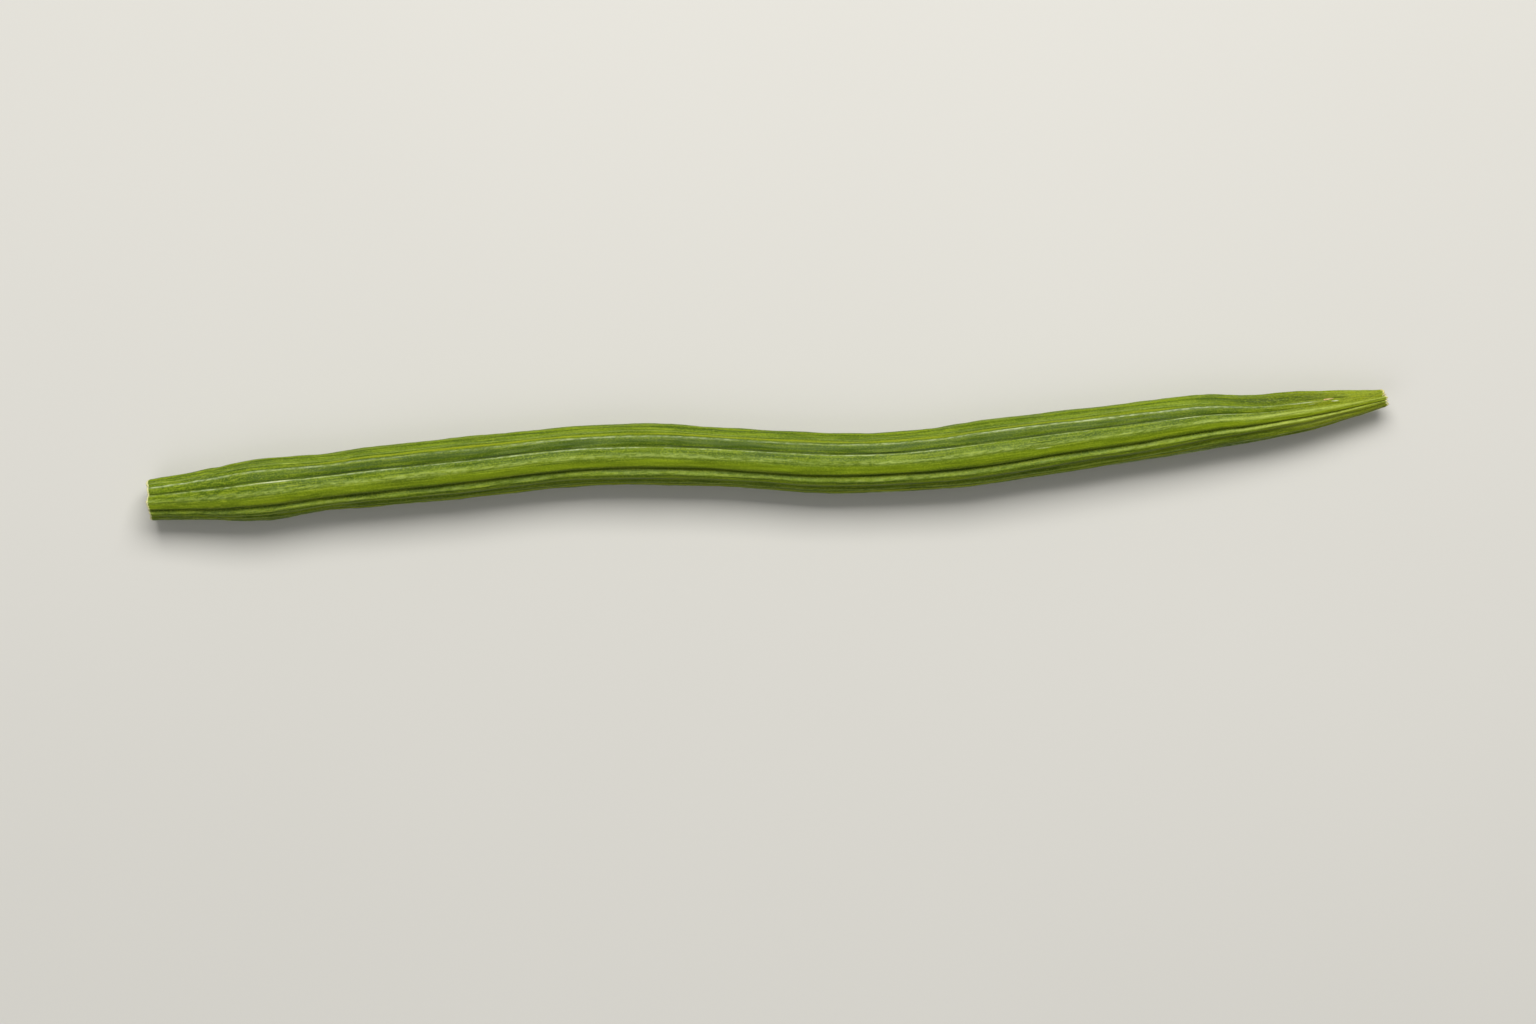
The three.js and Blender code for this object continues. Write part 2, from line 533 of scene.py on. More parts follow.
class PodRule:
    """The rule that the pod's surface follows, written in the node maths of one tree."""

    def __init__(self, maker: Maker, sizes: PodSizes, along: Value, phase: Value) -> None:
        """Sets the rule up for one tree.

        Args:
            maker: Adds the nodes.
            sizes: The pod's measures.
            along: The distance from the broad cut, in millimetres.
            phase: The phase round the pod, in radians, which is 0 on the uppermost rib.
        """
        self.maker = maker
        self.sizes = sizes
        self.along = along
        self.phase = phase
        self.reach = along.at_most(sizes.length - along).at_least(0.0)
        self.half = maker.curve(along, sizes.half_widths)
        degrees = maker.math("DEGREES", phase)
        self.valve_phase = maker.math("WRAP", degrees, VALVE_START + VALVE_SPAN, VALVE_START)

    def near_cut(self, distance: float) -> Value:
        """Gives 1 at the nearer cut, falling evenly to 0 at a distance from it."""
        return (1 - self.reach * (1 / distance)).at_least(0.0)

    def round_place(self, lengthwise: Value, spread: Value) -> bpy.types.NodeSocket:
        """Gives a place for a pattern that meets itself round the pod.

        Args:
            lengthwise: How far along the pattern it is.
            spread: How far out from the pod's middle line.

        Returns:
            The place.
        """
        return self.maker.vector(lengthwise, spread * self.phase.sin(), spread * self.phase.cos())

    def noise(self, pattern: Pattern, copy: int = 0) -> Value:
        """Adds one of the patterns over the skin.

        Args:
            pattern: The pattern.
            copy: Tells copies of it apart, which then differ from each other.

        Returns:
            The noise, from about -1 to 1.
        """
        place = self.round_place(self.along / pattern.length, self.half * (1 / pattern.width))
        return self.maker.noise(place, SEED + pattern.seed + copy, pattern.detail)

    def vein_line(self, vein: Vein) -> Value:
        """Shows where a vein runs.

        Args:
            vein: The vein.

        Returns:
            The strength, which is 1 on its middle line and fades to either side.
        """
        per_degree = self.half * math.radians(1.0)
        slimmer = self.maker.math("SQRT", self.half * (1 / self.sizes.full_half_width))
        return ((self.valve_phase - vein.phase) * per_degree).bell(slimmer * vein.width)

    def rope(self) -> Value:
        """Gives the slanting strands that break up a pale line.

        Returns:
            The strength, which is 1 on a strand and 0 between two.
        """
        z = self.sizes
        slanted = (self.along + self.half * self.phase.sin() * z.rope_slant) / z.rope_pitch
        place = self.round_place(slanted, self.half * (1 / z.rope_width))
        return self.maker.noise(place, SEED + z.rope_seed).spread(1.7)

    def cracks(self) -> Value:
        """Gives thin wandering lines that run lengthwise in patches: 1 in a line's middle."""
        lines = self.noise(Pattern.CRACKS).bell(self.sizes.crack_width)
        return lines * self.noise(Pattern.CRACK_PATCHES).ramp(-0.1, 0.5)

    def veins(self) -> list[tuple[Vein, Value]]:
        """Shows where all the veins run.

        Returns:
            Each vein and its strength, which is 1 on its line, less where it fades and 0 beside it.
        """
        fades = [self.noise(Pattern.FADE, i).spread(1.2) for i in range(FADE_PATTERNS)]
        gap = self.sizes.rope_gap
        strands = self.rope() * (1 - gap) + gap
        shown = []
        for i, vein in enumerate(VEINS):
            whole = 1 - vein.broken * fades[i % FADE_PATTERNS]
            line = vein.run(self.vein_line(vein) * whole, self.along)
            shown.append((vein, line * strands if vein.roped else line))
        return shown

    def furrow(self) -> Value:
        """Gives how far a furrow cuts in.

        Returns:
            The depth, in millimetres, which is 0 on a rib's crest.
        """
        z = self.sizes
        depth = self.half * (z.furrow_depth / z.full_half_width)
        uneven = 1 + z.furrow_unevenness * (self.phase * 2.0 + z.unevenness_start).sin()
        return depth * uneven * self.maker.curve(self.valve_phase, z.valve_section)

    def radius(self) -> Value:
        """Gives the plain radius, without veins and wrinkles."""
        bulge = 1 + self.sizes.valve_bulge * (self.phase * float(self.sizes.valves)).cos()
        return self.half * bulge - self.furrow()

    def angle(self) -> Value:
        """Gives the angle from straight up. The underside's ribs keep to their phases.

        Returns:
            The angle, in radians.
        """
        upper = (self.phase * 0.5).cos()
        turn = self.maker.math("RADIANS", self.maker.curve(self.along, self.sizes.rib_turns))
        gather = self.maker.curve(self.along, self.sizes.rib_gathers)
        wander = self.noise(Pattern.WANDER) * self.sizes.line_wander
        return self.phase + turn * upper * upper - gather * self.phase.sin() + wander

    def tear(self, on_neck: Value) -> Value:
        """Gives how far the torn edge of a cut stands out, fading along the skin.

        Args:
            on_neck: Is 1 near the neck's cut, where each rib ends in a lobe, and 0 near the broad one.

        Returns:
            The height, in millimetres.
        """
        z = self.sizes
        waves = [height * (self.phase * float(crests) + start).sin() for height, crests, start in z.rim_waves]
        notch = on_neck * z.neck_lobe * self.maker.curve(self.valve_phase, z.valve_section)
        fade = self.near_cut(z.rim_tear_reach)
        return (waves[0] + waves[1] - notch) * fade * fade

    def dish(self, share: Value) -> Value:
        """Gives how deep a cut face is dished.

        Args:
            share: The share of the radius.

        Returns:
            The depth, in millimetres.
        """
        z = self.sizes
        core = z.core_reach + z.core_arm * (self.phase * float(z.valves)).cos()
        return z.cut_dish * (1 - share ** 4.0) + z.core_depth * (1 - share / core).at_least(0.0)

    def place(self, share: Value, relief: Number, cut_relief: Number) -> bpy.types.NodeSocket:
        """Gives a point of the pod, in millimetres, in line with its two cuts.

        Args:
            share: The share of the radius, which is 1 on the skin.
            relief: How far the skin's fine shape stands out there.
            cut_relief: How far a cut face's fine shape stands out there.

        Returns:
            The point.
        """
        z = self.sizes
        outward = self.maker.math("SIGN", self.along - z.length / 2)
        on_neck = outward.at_least(0.0)
        rim = self.near_cut(z.rim_round_reach)
        angle = self.angle()
        r = (self.radius() + relief - z.rim_round * rim * rim) * share
        side = -(r * angle.sin())
        up = z.height_to_width * r * angle.cos()
        near = self.near_cut(z.neck_slant_reach)
        slant = z.neck_slant * near * near * on_neck
        torn = self.tear(on_neck) * share
        x = self.along - z.length / 2 + outward * (torn - self.dish(share) + cut_relief)
        y = self.maker.curve(self.along, z.sideways) + side
        height = (self.maker.curve(self.along, z.axis_heights) + up).at_least(0.0)
        return self.maker.vector(x - slant * side, y, height)


@dataclass(frozen=True)
class SheetPlan:
    """How finely the flat sheet is divided before it is rolled up.

    A cut's rings lie closer together towards its rim, the more so the more crowded they are. Rim steps
    are distances from a cut. A line narrower than a broad line gets columns of its own, at vein steps
    of its width to either side, and the columns lie between the closest and the widest number of
    degrees apart.
    """

    face_budget: int = 197_000
    cut_rings: int = 11
    crowding: float = 1.4
    rim_steps: tuple[float, ...] = (0.0, 0.1, 0.22, 0.36, 0.52, 0.7, 0.92, 1.2, 1.55, 2.0)
    vein_steps: tuple[float, ...] = (-1.5, -0.7, 0.0, 0.7, 1.5)
    broad_line: float = 0.4
    closest: float = 0.55
    widest: float = 1.95

    def phases(self, sizes: PodSizes) -> list[float]:
        """Lists the sheet's phases, in degrees from -180 to 180, close together at each vein.

        Args:
            sizes: The pod's measures.

        Returns:
            The phases in rising order.
        """
        per_mm = math.degrees(1 / sizes.full_half_width)
        wanted = [float(phase) for phase, _ in sizes.valve_section]
        for vein in VEINS:
            if vein.width < self.broad_line:
                wanted += [vein.phase + step * vein.width * per_mm for step in self.vein_steps]
        kept: list[float] = []
        for phase in sorted(wanted):
            if not kept or phase - kept[-1] > self.closest:
                kept.append(phase)
        kept[-1] = VALVE_START + VALVE_SPAN
        valve: list[float] = []
        for low, high in zip(kept, kept[1:]):
            parts = math.ceil((high - low) / self.widest)
            valve += [low + (high - low) * i / parts for i in range(parts)]
        turned = sorted(
            (phase + VALVE_SPAN * i + 180) % 360 - 180 for phase in valve for i in range(sizes.valves)
        )
        return [-180.0] + [phase for phase in turned if abs(phase) < 180 - self.closest / 2] + [180.0]

    def stations(self, sizes: PodSizes, columns: int) -> list[tuple[float, float]]:
        """Lists the sheet's rows as distances and shares of the radius, from one cut's middle to the other's.

        Args:
            sizes: The pod's measures.
            columns: How many faces one row has.

        Returns:
            The distance from the broad cut and the share of each row.
        """
        rows = self.face_budget // (2 * columns) - 2 * self.cut_rings - 2 * len(self.rim_steps)
        last = self.rim_steps[-1]
        step = (sizes.length - 2 * last) / rows
        run = [last + step * i for i in range(1, rows)]
        skin = [*self.rim_steps, *run, *[sizes.length - s for s in reversed(self.rim_steps)]]
        shares = [1 - (1 - i / self.cut_rings) ** self.crowding for i in range(self.cut_rings)]
        broad = [(0.0, share) for share in shares]
        neck = [(sizes.length, share) for share in reversed(shares)]
        return [*broad, *[(s, 1.0) for s in skin], *neck]


def named_mesh(
    name: str, points: list[tuple[float, float, float]], faces: list[tuple[int, ...]]
) -> bpy.types.Object:
    """Makes a mesh object and puts it in the scene.

    Args:
        name: The object's name.
        points: The mesh's points.
        faces: The point numbers of each face.

    Returns:
        The object.
    """
    mesh = bpy.data.meshes.new(name)
    mesh.from_pydata(points, [], faces)
    made = bpy.data.objects.new(name, mesh)
    bpy.context.scene.collection.objects.link(made)
    return made


def sheet(name: str, stations: list[tuple[float, float]], phases: list[float]) -> bpy.types.Object:
    """Makes a flat sheet whose points hold a distance, a phase in radians and a share of the radius.

    Args:
        name: The object's name.
        stations: The distance and share of each row.
        phases: The phase of each column, in degrees.

    Returns:
        The sheet.
    """
    points = [(s, math.radians(phase), share) for s, share in stations for phase in reversed(phases)]
    wide = len(phases)
    faces = [
        (i * wide + j, (i + 1) * wide + j, (i + 1) * wide + j + 1, i * wide + j + 1)
        for i in range(len(stations) - 1)
        for j in range(wide - 1)
    ]
    return named_mesh(name, points, faces)


def apply_tree(made: bpy.types.Object, tree: bpy.types.NodeTree, sizes: dict[str, float]) -> bpy.types.Object:
    """Runs a geometry tree on an object and keeps the result as the object's plain mesh.

    Args:
        made: The object.
        tree: The geometry tree.
        sizes: A number for each of the tree's named inputs.

    Returns:
        The object, with no modifier left on it.
    """
    modifier = made.modifiers.new(tree.name, "NODES")
    modifier.node_group = tree
    for item in tree.interface.items_tree:
        if item.item_type == "SOCKET" and item.in_out == "INPUT" and item.name in sizes:
            modifier[item.identifier] = sizes[item.name]
    graph = bpy.context.evaluated_depsgraph_get()
    graph.update()
    final = made.evaluated_get(graph)
    mesh = bpy.data.meshes.new_from_object(final, preserve_all_data_layers=True, depsgraph=graph)
    made.modifiers.clear()
    made.data = mesh
    return made


class GeometryMaker(Maker):
    """Adds nodes to a new geometry tree with named inputs for its sizes."""

    def __init__(self, name: str, sizes: dict[str, float]) -> None:
        """Starts a geometry tree.

        Args:
            name: The tree's name.
            sizes: The name and usual value of each input.
        """
        tree = bpy.data.node_groups.new(name, "GeometryNodeTree")
        super().__init__(tree)
        face = tree.interface
        face.new_socket("Geometry", in_out="INPUT", socket_type="NodeSocketGeometry")
        for size, usual in sizes.items():
            face.new_socket(size, in_out="INPUT", socket_type="NodeSocketFloat").default_value = usual
        face.new_socket("Geometry", in_out="OUTPUT", socket_type="NodeSocketGeometry")
        self.start = self.node("NodeGroupInput")
        self.geometry = self.start.outputs["Geometry"]

    def size(self, name: str) -> Value:
        """Gives a named input."""
        return Value(self, self.start.outputs[name])

    def step(self, kind: str, settings: dict | None = None, sockets: dict | None = None) -> bpy.types.Node:
        """Adds a node that the geometry runs through.

        Args:
            kind: The node's type name.
            settings: The node's own properties.
            sockets: A number, colour or link for each other input.

        Returns:
            The node.
        """
        node = self.node(kind, settings, sockets)
        intake = next(i for i in node.inputs if i.type == "GEOMETRY" and not i.is_linked)
        self.tree.links.new(self.geometry, intake)
        self.geometry = next(o for o in node.outputs if o.type == "GEOMETRY")
        return node

    def random(self, low: float, high: float, seed: int) -> Value:
        """Gives each point a random number between low and high."""
        sockets = {"Min": low, "Max": high, "Seed": seed}
        node = self.node("FunctionNodeRandomValue", {"data_type": "FLOAT"}, sockets)
        return Value(self, next(socket for socket in node.outputs if socket.enabled))

    def store(self, name: str, kind: str, domain: str, value: object) -> None:
        """Keeps a value on the geometry.

        Args:
            name: The name under which it is kept.
            kind: Its type.
            domain: What it is kept for: points, faces or their corners.
            value: The value.
        """
        settings = {"data_type": kind, "domain": domain}
        self.step("GeometryNodeStoreNamedAttribute", settings, {"Name": name, "Value": value})

    def end(self) -> bpy.types.NodeTree:
        """Ends the tree in its output.

        Returns:
            The tree.
        """
        output = self.node("NodeGroupOutput")
        self.tree.links.new(self.geometry, output.inputs[0])
        return self.tree


@dataclass(frozen=True)
class SkinRelief:
    """The fine shape of the skin and of the cut faces: how high each kind of detail is, in millimetres.

    The rim's teeth start at a share of the radius and reach a little way along the skin. The torn
    flesh has so many lumps to a millimetre.
    """

    vein_height: float = 1.0
    lump_height: float = 0.24
    wrinkle_height: float = 0.13
    crack_depth: float = 0.08
    tooth_height: float = 0.14
    bundle_height: float = 0.07
    seam_depth: float = 0.12
    flesh_roughness: float = 0.05
    flesh_per_mm: float = 3.0
    flesh_seed: int = 25
    teeth_from: float = 0.88
    tooth_reach: float = 0.4

    def inputs(self) -> dict[str, float]:
        """Names each size as the tree's inputs do."""
        return {
            "Vein height": self.vein_height,
            "Lump height": self.lump_height,
            "Wrinkle height": self.wrinkle_height,
            "Crack depth": self.crack_depth,
            "Tooth height": self.tooth_height,
            "Bundle height": self.bundle_height,
            "Seam depth": self.seam_depth,
            "Flesh roughness": self.flesh_roughness,
        }


@dataclass(frozen=True)
class CutPattern:
    """Where things lie on a cut face.

    Shares are of the radius and widths are in millimetres. The vessels lie in a ring of so many bundles.
    """

    bundles: float = 45.0
    bundle_share: float = 0.86
    bundle_width: float = 0.16
    seam_width: float = 0.13
    rind_share: float = 0.94

    def seam(self, rule: PodRule, share: Value) -> Value:
        """Shows the three seams that run from the middle of a cut to its rim.

        Args:
            rule: The pod's rule.
            share: The share of the radius.

        Returns:
            The strength, which is 1 on a seam.
        """
        phase = next(vein.phase for vein in VEINS if vein.name == "valve seam")
        gap = (rule.valve_phase - phase) * rule.half * share * math.radians(1.0)
        return gap.bell(self.seam_width)

    def bundle(self, rule: PodRule, share: Value) -> Value:
        """Gives 1 in the middle of each bundle of vessels in the ring inside the rind."""
        ring = ((share - self.bundle_share) * rule.half).bell(self.bundle_width)
        return ring * (rule.phase * self.bundles).cos().ramp(0.0, 0.9)


@dataclass(frozen=True)
class PodShape:
    """The pod's shape: a flat sheet rolled up into a skin, with a face over each cut.

    A face whose mark of lying on a cut is above mark_floor gets the finish of the cuts.
    """

    sizes: PodSizes = PodSizes()
    relief: SkinRelief = SkinRelief()
    pattern: CutPattern = CutPattern()
    merge_distance: float = 0.002
    mark_floor: float = 0.01

    def skin_relief(self, maker: GeometryMaker, rule: PodRule) -> Value:
        """Gives how far the skin's veins, wrinkles and lumps stand out.

        Args:
            maker: Adds the nodes.
            rule: The pod's rule in that tree.

        Returns:
            The height, in millimetres.
        """
        height = rule.noise(Pattern.LUMPS) * maker.size("Lump height")
        height = height + rule.noise(Pattern.WRINKLES) * maker.size("Wrinkle height")
        height = height - rule.cracks() * maker.size("Crack depth")
        for vein, shown in rule.veins():
            height = height + shown * vein.height * maker.size("Vein height")
        return height

    def cut_relief(self, maker: GeometryMaker, rule: PodRule, share: Value) -> Value:
        """Gives how far a cut face's teeth, bundles and torn flesh stand out, and its seams sink in.

        Args:
            maker: Adds the nodes.
            rule: The pod's rule in that tree.
            share: The share of the radius.

        Returns:
            The height, in millimetres.
        """
        z = self.relief
        rim = share.ramp(z.teeth_from, 1.0) * rule.near_cut(z.tooth_reach)
        height = rule.noise(Pattern.TEETH) * maker.size("Tooth height") * rim
        height = height + self.pattern.bundle(rule, share) * maker.size("Bundle height")
        height = height - self.pattern.seam(rule, share) * maker.size("Seam depth")
        spread = share * rule.half * z.flesh_per_mm
        place = maker.vector(spread * rule.phase.sin(), spread * rule.phase.cos(), rule.along)
        flesh = maker.noise(place, SEED + z.flesh_seed) * maker.size("Flesh roughness")
        on_cut = maker.math("LESS_THAN", share, SKIN_SHARE)
        return (height + flesh) * on_cut.at_least(rim)

    def tree(self, name: str, skin: bpy.types.Material, cut: bpy.types.Material) -> bpy.types.NodeTree:
        """Makes the geometry tree that rolls a sheet up.

        Args:
            name: The tree's name.
            skin: The finish of the skin.
            cut: The finish of the cut faces.

        Returns:
            The tree.
        """
        maker = GeometryMaker(name, self.relief.inputs())
        along, phase, share = maker.split(maker.node("GeometryNodeInputPosition").outputs[0])
        rule = PodRule(maker, self.sizes, along, phase)
        maker.store(SHARE, "FLOAT", "POINT", share)
        place = maker.vector(along / self.sizes.length, 0.5 - phase / math.tau, 0.0)
        maker.store(SKIN_MAP, "FLOAT2", "CORNER", place)
        maker.store(ON_CUT, "FLOAT", "FACE", maker.math("LESS_THAN", share, SKIN_SHARE))
        relief = self.skin_relief(maker, rule)
        cut_relief = self.cut_relief(maker, rule, share)
        maker.step("GeometryNodeSetPosition", None, {"Position": rule.place(share, relief, cut_relief)})
        maker.step("GeometryNodeMergeByDistance", None, {"Distance": self.merge_distance})
        maker.step("GeometryNodeTransform", None, {"Scale": (MM, MM, MM)})
        maker.step("GeometryNodeSetShadeSmooth")
        maker.step("GeometryNodeSetMaterial", None, {"Material": skin})
        read = maker.node("GeometryNodeInputNamedAttribute", {"data_type": "FLOAT"}, {"Name": ON_CUT})
        chosen = maker.node(
            "FunctionNodeCompare", {"data_type": "FLOAT", "operation": "GREATER_THAN"},
            {"A": read.outputs[0], "B": self.mark_floor},
        )
        maker.step("GeometryNodeSetMaterial", None, {"Selection": chosen.outputs[0], "Material": cut})
        maker.step("GeometryNodeRealizeInstances")
        return maker.end()


@dataclass
class PodBody:
    """The pod's whole body, from cut to cut."""

    shape: PodShape
    plan: SheetPlan = SheetPlan()

    def build(self, skin: bpy.types.Material, cut: bpy.types.Material) -> bpy.types.Object:
        """Builds the body.

        Args:
            skin: The finish of the skin.
            cut: The finish of the cut faces.

        Returns:
            The body.
        """
        phases = self.plan.phases(self.shape.sizes)
        stations = self.plan.stations(self.shape.sizes, len(phases) - 1)
        made = sheet("pod_body", stations, phases)
        return apply_tree(made, self.shape.tree("roll_up_pod", skin, cut), self.shape.relief.inputs())


@dataclass(frozen=True)
class CutCrumbs:
    """Rounded crumbs of torn flesh that stand out of a cut.

    Their cut is at a distance from the broad cut, and outward is 1 where they point to +X and -1 where
    they point to -X. They lie between two shares of the radius, inmost and outmost, and lean by up to
    so many radians. Lengths are in millimetres, and thinnest and thickest are shares of the thickness.
    """

    name: str
    at: float
    outward: float
    count: float
    shortest: float
    longest: float
    thickness: float
    lean: float
    inmost: float
    seed: int
    outmost: float = 0.985
    sunk: float = 0.12
    thinnest: float = 0.5
    thickest: float = 1.3
    sides: int = 8
    rings: int = 5

    def tree(self, shape: PodShape, finish: bpy.types.Material) -> bpy.types.NodeTree:
        """Makes the geometry tree that scatters the crumbs by the pod's own rule.

        Args:
            shape: The pod's shape.
            finish: The crumbs' finish.

        Returns:
            The tree.
        """
        maker = GeometryMaker(self.name, self.inputs())
        line = maker.node("GeometryNodeMeshLine", {"mode": "OFFSET"}, {"Count": maker.size("Count")})
        maker.geometry = line.outputs[0]
        along = maker.size("Cut at")
        phase = maker.random(-math.pi, math.pi, self.seed)
        share = maker.random(self.inmost, self.outmost, self.seed + 1)
        rule = PodRule(maker, shape.sizes, along, phase)
        maker.step("GeometryNodeSetPosition", None, {"Position": rule.place(share, 0.0, -self.sunk)})
        crumb = maker.node(
            "GeometryNodeMeshUVSphere", None,
            {"Segments": self.sides, "Rings": self.rings, "Radius": 1.0},
        )
        turn = self.outward * math.pi / 2
        tilts = [maker.random(-self.lean, self.lean, self.seed + 2 + i) for i in range(2)]
        spin = maker.vector(tilts[0], tilts[1] + turn, 0.0)
        rotation = maker.node("FunctionNodeEulerToRotation", None, {0: spin}).outputs[0]
        reach = maker.random(0.0, 1.0, self.seed + 4)
        shortest = maker.size("Shortest")
        length = shortest + reach * reach * (maker.size("Longest") - shortest)
        widths = [maker.random(self.thinnest, self.thickest, self.seed + 5 + i) for i in range(2)]
        wide = [maker.size("Thickness") * width for width in widths]
        scale = maker.vector(wide[0], wide[1], length + self.sunk)
        sockets = {"Instance": crumb.outputs["Mesh"], "Rotation": rotation, "Scale": scale}
        maker.step("GeometryNodeInstanceOnPoints", None, sockets)
        maker.step("GeometryNodeRealizeInstances")
        maker.step("GeometryNodeTransform", None, {"Scale": (MM, MM, MM)})
        maker.step("GeometryNodeSetShadeSmooth")
        maker.step("GeometryNodeSetMaterial", None, {"Material": finish})
        return maker.end()

    def inputs(self) -> dict[str, float]:
        """Names each size as the tree's inputs do."""
        return {
            "Cut at": self.at,
            "Count": self.count,
            "Shortest": self.shortest,
            "Longest": self.longest,
            "Thickness": self.thickness,
        }

    def build(self, shape: PodShape, finish: bpy.types.Material) -> bpy.types.Object:
        """Builds the crumbs of one cut.

        Args:
            shape: The pod's shape.
            finish: The crumbs' finish.

        Returns:
            The crumbs, as one piece.
        """
        made = named_mesh(self.name, [(0.0, 0.0, 0.0)], [])
        return apply_tree(made, self.tree(shape, finish), self.inputs())


@dataclass(frozen=True)
class TornSkin:
    """A scrap of skin that has torn loose on the neck and curls away from it.

    Start and end are distances from the broad cut. Its phase and half its width are in degrees. Lift
    and curl are the shares of the radius by which it lies off the skin at its root, and more at its
    tip. Narrowing is the share of its width that it loses from root to tip.
    """

    start: float = 258.9
    end: float = 261.1
    phase: float = -43.0
    half_width: float = 2.8
    lift: float = 0.003
    curl: float = 0.05
    narrowing: float = 0.85
    rows: int = 8
    columns: int = 6
    thickness: float = 0.09

    def build(self, shape: PodShape, finish: bpy.types.Material) -> bpy.types.Object:
        """Builds the scrap from a small sheet that is rolled up with the pod's own rule.

        Args:
            shape: The pod's shape.
            finish: The scrap's finish.

        Returns:
            The scrap.
        """
        length = self.end - self.start
        root = 1 + self.lift
        steps = [i / self.rows for i in range(self.rows + 1)]
        stations = [(self.start + length * t, root + self.curl * t * t) for t in steps]
        across = [2 * j / self.columns - 1 for j in range(self.columns + 1)]
        made = sheet("torn_skin", stations, [self.phase + self.half_width * j for j in across])
        middle = math.radians(self.phase)
        for corner in made.data.vertices:
            t = (corner.co.x - self.start) / length
            corner.co.y = middle + (corner.co.y - middle) * (1 - self.narrowing * t * t)
        apply_tree(made, shape.tree("roll_up_scrap", finish, finish), shape.relief.inputs())
        shell = made.modifiers.new("thickness", "SOLIDIFY")
        shell.thickness = self.thickness * MM
        shell.offset = 0.0
        return made


def mapped_rule(maker: Maker, sizes: PodSizes) -> PodRule:
    """Sets the pod's rule up in a material, from the map that the sheet kept when it was rolled up.

    Args:
        maker: Adds the nodes.
        sizes: The pod's measures.

    Returns:
        The rule.
    """
    u, v, _ = maker.split(maker.node("ShaderNodeUVMap", {"uv_map": SKIN_MAP}).outputs[0])
    return PodRule(maker, sizes, u * sizes.length, math.pi - v * math.tau)


def new_material(name: str) -> tuple[bpy.types.Material, Maker]:
    """Starts a node material.

    Args:
        name: The material's name.

    Returns:
        The material, and the maker of its nodes.
    """
    material = bpy.data.materials.new(name)
    material.use_nodes = True
    return material, Maker(material.node_tree)


@dataclass(frozen=True)
class Gloss:
    """How a finish reflects, and how its finest grain stands out, by a distance in metres."""

    ior: float = 1.42
    specular: float = 0.14
    grain_strength: float = 0.35
    grain_distance: float = 0.00004

    def finish(self, maker: Maker, base: bpy.types.NodeSocket, rough: Number, grain: Value) -> None:
        """Ends a material in its shader.

        Args:
            maker: Adds the nodes.
            base: The colour.
            rough: The roughness.
            grain: The height of the grain, from about -1 to 1.
        """
        sockets = {"Strength": self.grain_strength, "Distance": self.grain_distance, "Height": grain}
        bump = maker.node("ShaderNodeBump", None, sockets)
        shader = maker.node(
            "ShaderNodeBsdfPrincipled", None,
            {
                "Base Color": base,
                "Roughness": rough,
                "IOR": self.ior,
                "Specular IOR Level": self.specular,
                "Normal": bump.outputs[0],
            },
        )
        maker.node("ShaderNodeOutputMaterial", None, {"Surface": shader.outputs[0]})


@dataclass(frozen=True)
class Mark:
    """A mark on the skin.

    Its middle lies at a distance from the broad cut and at a phase in degrees. Half its length and
    width are in millimetres. Ragged says how uneven its edge and its colour are.
    """

    name: str
    along: float
    phase: float
    half_length: float
    half_width: float
    tint: Colour
    strength: float
    ragged: float = 0.35

    def mask(self, rule: PodRule, edge: Value) -> Value:
        """Gives how strongly the mark colours the skin.

        Args:
            rule: The pod's rule in the material.
            edge: A pattern that makes its edge ragged.

        Returns:
            The strength, which is 0 away from the mark.
        """
        lengthwise = (rule.along - self.along) / self.half_length
        round_it = (rule.phase - math.radians(self.phase)) * rule.half / self.half_width
        away = rule.maker.math("SQRT", lengthwise * lengthwise + round_it * round_it)
        patchy = (edge * (2 * self.ragged) + (0.95 - self.ragged * 0.5)).held()
        return (1 - (away + edge * self.ragged).ramp(0.5, 1.2)) * self.strength * patchy
